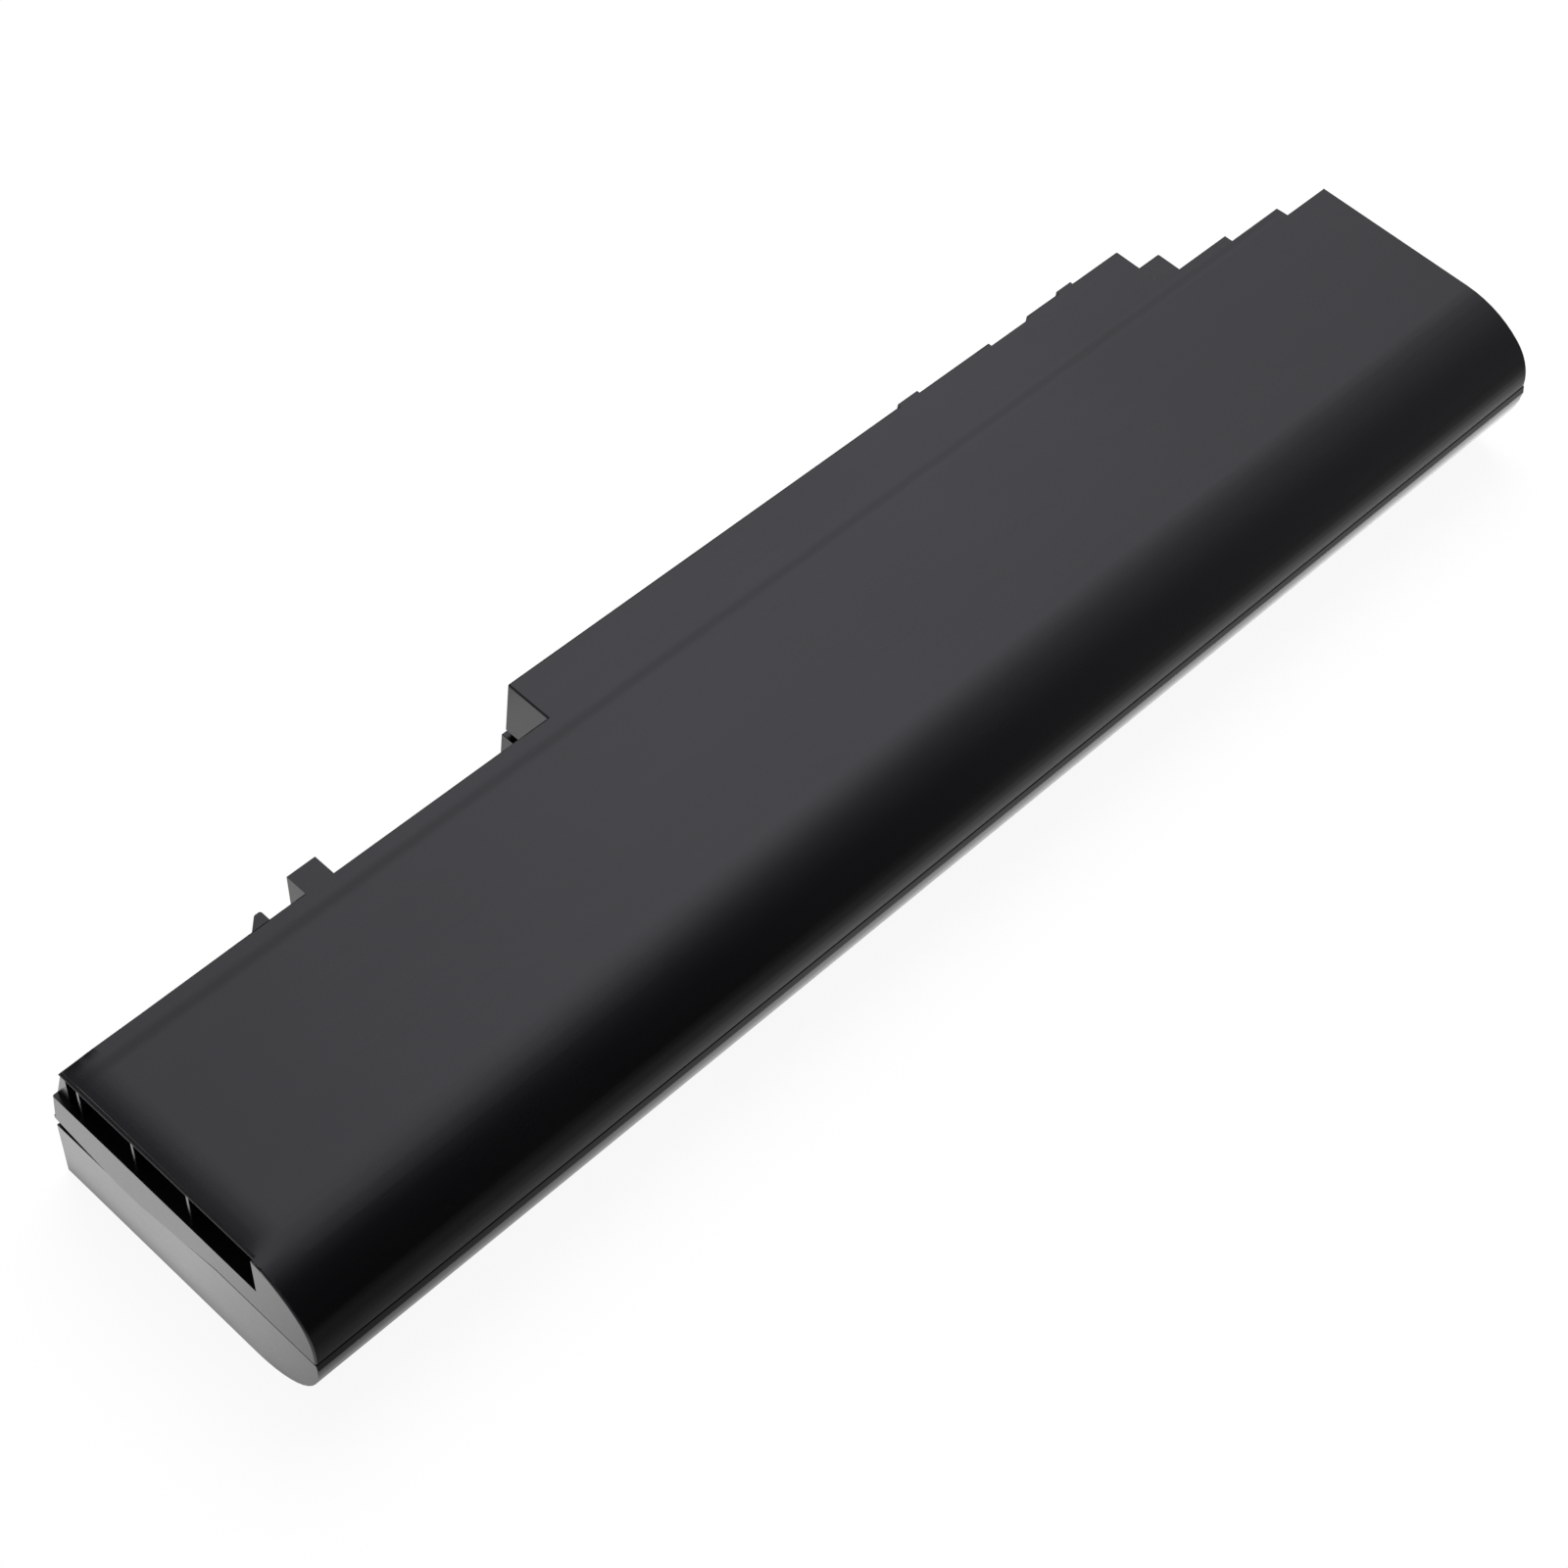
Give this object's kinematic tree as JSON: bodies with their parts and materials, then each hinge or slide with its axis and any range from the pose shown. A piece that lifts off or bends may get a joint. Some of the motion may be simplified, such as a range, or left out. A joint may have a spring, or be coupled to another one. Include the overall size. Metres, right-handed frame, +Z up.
{
  "type": "laptop battery",
  "caption": "Black bar-shaped laptop battery pack: two moulded shells with a rolled front edge, a ribbed end channel and a connector ledge, round cells and a board inside",
  "frame": {"origin": "middle of the footprint on the flat face that the battery rests on", "axes": "+X along the battery away from the ribbed channel end, +Y towards the connector ledge, +Z up through the flat top"},
  "size_m": [0.206, 0.0464, 0.0205],
  "materials": {
    "shell_plastic": "fine moulded satin",
    "connector_plastic": "moulded",
    "contact_metal": "plated",
    "cell_steel": "drawn",
    "sleeve_film": "shrunk film",
    "fibre": "pressed",
    "nickel": "rolled",
    "lead_black": "extruded",
    "lead_red": "extruded",
    "fuse_coating": "dipped",
    "foam": "closed cell",
    "board_laminate": "solder mask",
    "chip_epoxy": "moulded",
    "tinned_metal": "tinned",
    "capacitor_ceramic": "fired",
    "sensor_epoxy": "dipped"
  },
  "bodies": {
    "root": {"upper_shell": "shell_plastic", "lower_shell": "shell_plastic", "connector_housing": "connector_plastic", "connector_contacts": "contact_metal", "cell_front_left": "cell_steel", "cell_front_middle": "cell_steel", "cell_front_right": "cell_steel", "cell_back_left": "cell_steel", "cell_back_middle": "cell_steel", "cell_back_right": "cell_steel", "cell_sleeves": "sleeve_film", "fibre_rings": "fibre", "insulating_paper": "fibre", "link_left": "nickel", "link_inner_left": "nickel", "link_inner_right": "nickel", "link_right": "nickel", "left_lead": "lead_black", "right_lead": "lead_red", "thermal_fuse": "fuse_coating", "overcharge_cutout": "fuse_coating", "left_pad": "foam", "right_pad": "foam", "circuit_board": "board_laminate", "controller_chip": "chip_epoxy", "power_switches": "chip_epoxy", "current_shunt": "chip_epoxy", "chip_leads": "tinned_metal", "chip_capacitors": "capacitor_ceramic", "temperature_sensor": "sensor_epoxy"}
  },
  "joints": []
}
